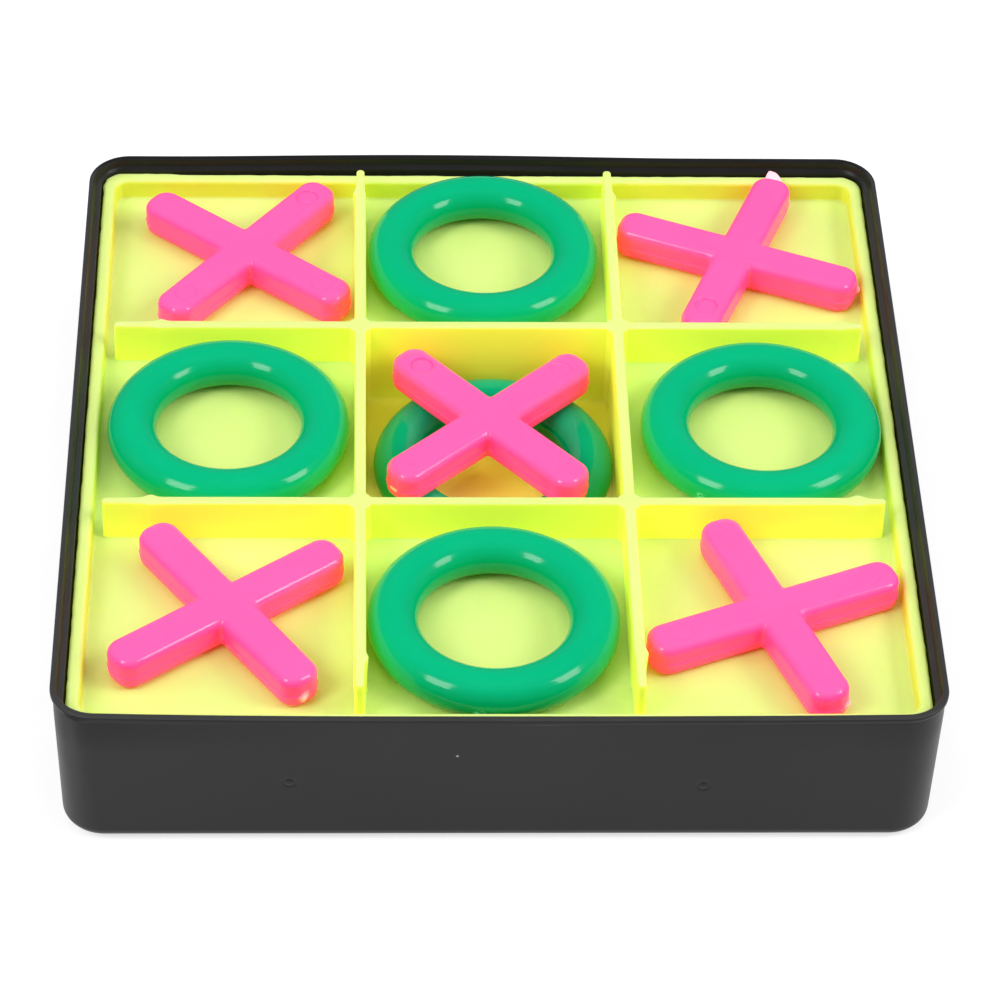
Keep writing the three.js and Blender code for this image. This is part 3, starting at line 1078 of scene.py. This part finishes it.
def cross(name, turn, pins, nubs=(), torn=False):
    """A cross; turn is in degrees, and pins are how deep the pin mark on each arm is."""
    x0, y0, z0 = node_middle(name)
    pin_places = [turned([(CROSS_REACH - PIN_FROM_END, 0)], arm)[0] for arm in range(4)]

    def crown(x, y):
        """Height of the top, with a shallow disc and a groove for each pin mark and a sunk middle."""
        sink = 0.16 * bell(math.hypot(x, y), 3.2)
        for (px, py), depth in zip(pin_places, pins):
            away = math.hypot(x - px, y - py)
            sink += depth * smooth_step(away, PIN_RADIUS + 0.08, PIN_RADIUS - 0.08)
            sink += depth * bell(away - PIN_RADIUS, 0.1)
        return CROSS_HEIGHT - sink

    levels = [(inset + CROSS_DRAFT, rise) for inset, rise in quarter_round(CROSS_FOOT_ROUND, 4)]
    levels += [(inset, CROSS_PARTING + above) for inset, above in PARTING_STEPS]
    for inset, rise in quarter_round(CROSS_TOP_ROUND, 8, back=True):
        levels.append((CROSS_DRAFT + inset, CROSS_HEIGHT - rise))
    shell = Shell()
    first, last = shell.skin([(cross_outline(inset, z, nubs), z) for inset, z in levels])
    shell.fill(first, [], lambda x, y: 0.0, 1.2)
    rings = [circle(px, py, PIN_RADIUS + d, 40) for px, py in pin_places for d in PIN_RING_OFFSETS]
    shell.fill(last, [], crown, CROWN_SPACING, rings)
    body_points = len(shell.points)
    if torn:
        torn_gate(shell)
    c, s = math.cos(math.radians(turn)), math.sin(math.radians(turn))
    shell.points = [(x0 + x * c - y * s, y0 + x * s + y * c, z0 + z) for x, y, z in shell.points]
    chip = [Vector(p) for p in shell.points[body_points:]]

    def scuff_nub(bm, scuff, nub):
        arm, degrees, length, width, height = nub
        base = turn + 90 * arm
        middle = Vector((x0, y0, z0 + height)) + heading(base) * (CROSS_REACH - CROSS_END)
        tip = middle + heading(base + degrees) * (CROSS_END + length * 0.6)
        for v in bm.verts:
            near = smooth_step((v.co - tip).length, 2.1 * width, 0.8 * width)
            beyond = (v.co - middle).xy.length - CROSS_END
            v[scuff] = max(v[scuff], near * smooth_step(beyond, 0.05, 0.3 * length))

    def shape(bm):
        """Marks the chip and the ends of the nubs as scuffed."""
        scuff = bm.verts.layers.float.new("scuff")
        for v in bm.verts:
            if any((v.co - p).length < MATCH_DISTANCE for p in chip):
                v[scuff] = 1.0
        for nub in nubs:
            scuff_nub(bm, scuff, nub)

    add_piece(name + "_piece", shell, PINK, name, name, shape)


cross("cross_back_left", 51.7, (0.15, 0.0, 0.08, 0.07))
cross("cross_back_right", 67.5, (0.0, 0.0, 0.15, 0.0), [(3, 25, 0.5, 0.42, 1.9)], torn=True)
left_nubs = [(3, -10, 0.35, 0.42, 1.6), (0, 0, 0.2, 0.4, 1.8)]
cross("cross_front_left", 36.15, (0.0, 0.0, 0.0, 0.0), left_nubs)
right_nubs = [(0, 5, 0.7, 0.42, 1.8), (3, 50, 0.4, 0.42, 1.8)]
cross("cross_front_right", 22.15, (0.05, 0.06, 0.06, 0.06), right_nubs)
cross("cross_centre", 42.5, (0.1, 0.18, 0.04, 0.05), [(2, 0, 0.2, 0.4, 1.8)])


# ---- stage, light and camera -------------------------------------------------------------------------

# Directions are (azimuth, elevation) in degrees, with the azimuth clockwise from the back as seen from
# above. Distances and sizes from here on are metres.

# The strip softboxes, each from its low end to its high end, about a point in the middle of the set.
SOFTBOXES = {
    "softbox_left": ((-130.5, 34), (-117.5, 58)),
    "softbox_right": ((113, 31), (101, 53)),
}
SOFTBOX_DISTANCE = 0.9
SOFTBOX_WIDTH = 0.27
SOFTBOX_RADIANCE = 8.8
SOFTBOX_AIM_HEIGHT = 0.02

# Broad dim lights that aren't seen in the gloss: direction, size and radiance.
FILLS = {
    "fill_left": ((-85, 30), 0.6, 3.6),
    "fill_right": ((85, 30), 0.6, 3.6),
    "fill_above": ((0, 90), 0.9, 1.6),
}
FILL_DISTANCE = 1.0
WORLD_STRENGTH = 0.14

CAMERA_AZIMUTH, CAMERA_ELEVATION, CAMERA_ROLL = -2.72, 43.05, 1.94
CAMERA_DISTANCE = 0.4736
CAMERA_TARGET = Vector((0.63, -14.32, 20.0)) * MM
CAMERA_LENS = 146.36


def direction(azimuth, elevation):
    a, e = math.radians(azimuth), math.radians(elevation)
    return Vector((math.sin(a) * math.cos(e), math.cos(a) * math.cos(e), math.sin(e)))


def placed(x_axis, y_axis, z_axis, place):
    """A matrix that puts something at a place, with its own axes along three directions."""
    matrix = Matrix((x_axis, y_axis, z_axis)).transposed().to_4x4()
    matrix.translation = place
    return matrix


def floor():
    bm = bmesh.new()
    bmesh.ops.create_grid(bm, x_segments=8, y_segments=8, size=4.0)
    mesh = bpy.data.meshes.new("floor")
    bm.to_mesh(mesh)
    bm.free()
    plane = add_object("floor", mesh)
    n = Nodes("floor")
    n.feed("Base Color", n.mix(n.noise(3.0), (0.36, 0.36, 0.36), (0.4, 0.4, 0.4)))
    n.set(Roughness=0.8, Emission_Color=(1.0, 1.0, 1.0, 1.0), Emission_Strength=0.68)
    mesh.materials.append(n.material)


def area_light(name, shape, width, length, radiance):
    data = bpy.data.lights.new(name, "AREA")
    data.shape = shape
    data.size = width
    data.size_y = length
    data.energy = radiance * math.pi * width * length
    return add_object(name, data)


def softbox(name, low, high):
    """A strip softbox whose long side runs between two directions."""
    low_end, high_end = direction(*low) * SOFTBOX_DISTANCE, direction(*high) * SOFTBOX_DISTANCE
    middle = (low_end + high_end) / 2
    along = (high_end - low_end).normalized()
    back = (middle - along * middle.dot(along)).normalized()
    length = (high_end - low_end).length
    light = area_light(name, "RECTANGLE", SOFTBOX_WIDTH, length, SOFTBOX_RADIANCE)
    place = (middle.x, middle.y, middle.z + SOFTBOX_AIM_HEIGHT)
    light.matrix_world = placed(along.cross(back), along, back, place)


def fill_light(name, way, size, radiance):
    back = direction(*way)
    light = area_light(name, "SQUARE", size, size, radiance)
    light.location = back * FILL_DISTANCE
    light.rotation_euler = back.to_track_quat("Z", "Y").to_euler()
    light.visible_glossy = False


def lights():
    for name, (low, high) in SOFTBOXES.items():
        softbox(name, low, high)
    for name, settings in FILLS.items():
        fill_light(name, *settings)
    world = bpy.data.worlds.new("studio")
    bpy.context.scene.world = world
    world.use_nodes = True
    background = world.node_tree.nodes["Background"]
    background.inputs["Color"].default_value = (1.0, 1.0, 1.0, 1.0)
    background.inputs["Strength"].default_value = WORLD_STRENGTH


def camera():
    """The camera stands in front, so its azimuth is counted from the front."""
    back = direction(180 - CAMERA_AZIMUTH, CAMERA_ELEVATION)
    roll = math.radians(CAMERA_ROLL)
    right = (-back).cross(Vector((0, 0, 1))).normalized()
    up = back.cross(right)
    x_axis = math.cos(roll) * right + math.sin(roll) * up
    y_axis = -math.sin(roll) * right + math.cos(roll) * up
    data = bpy.data.cameras.new("camera")
    data.sensor_width = 36.0
    data.lens = CAMERA_LENS
    data.clip_start = 0.01
    data.clip_end = 50.0
    seen = add_object("camera", data)
    seen.matrix_world = placed(x_axis, y_axis, back, CAMERA_TARGET + back * CAMERA_DISTANCE)
    bpy.context.scene.camera = seen


floor()
lights()
camera()
bpy.context.scene.view_settings.view_transform = "Standard"
bpy.context.scene.view_settings.look = "None"
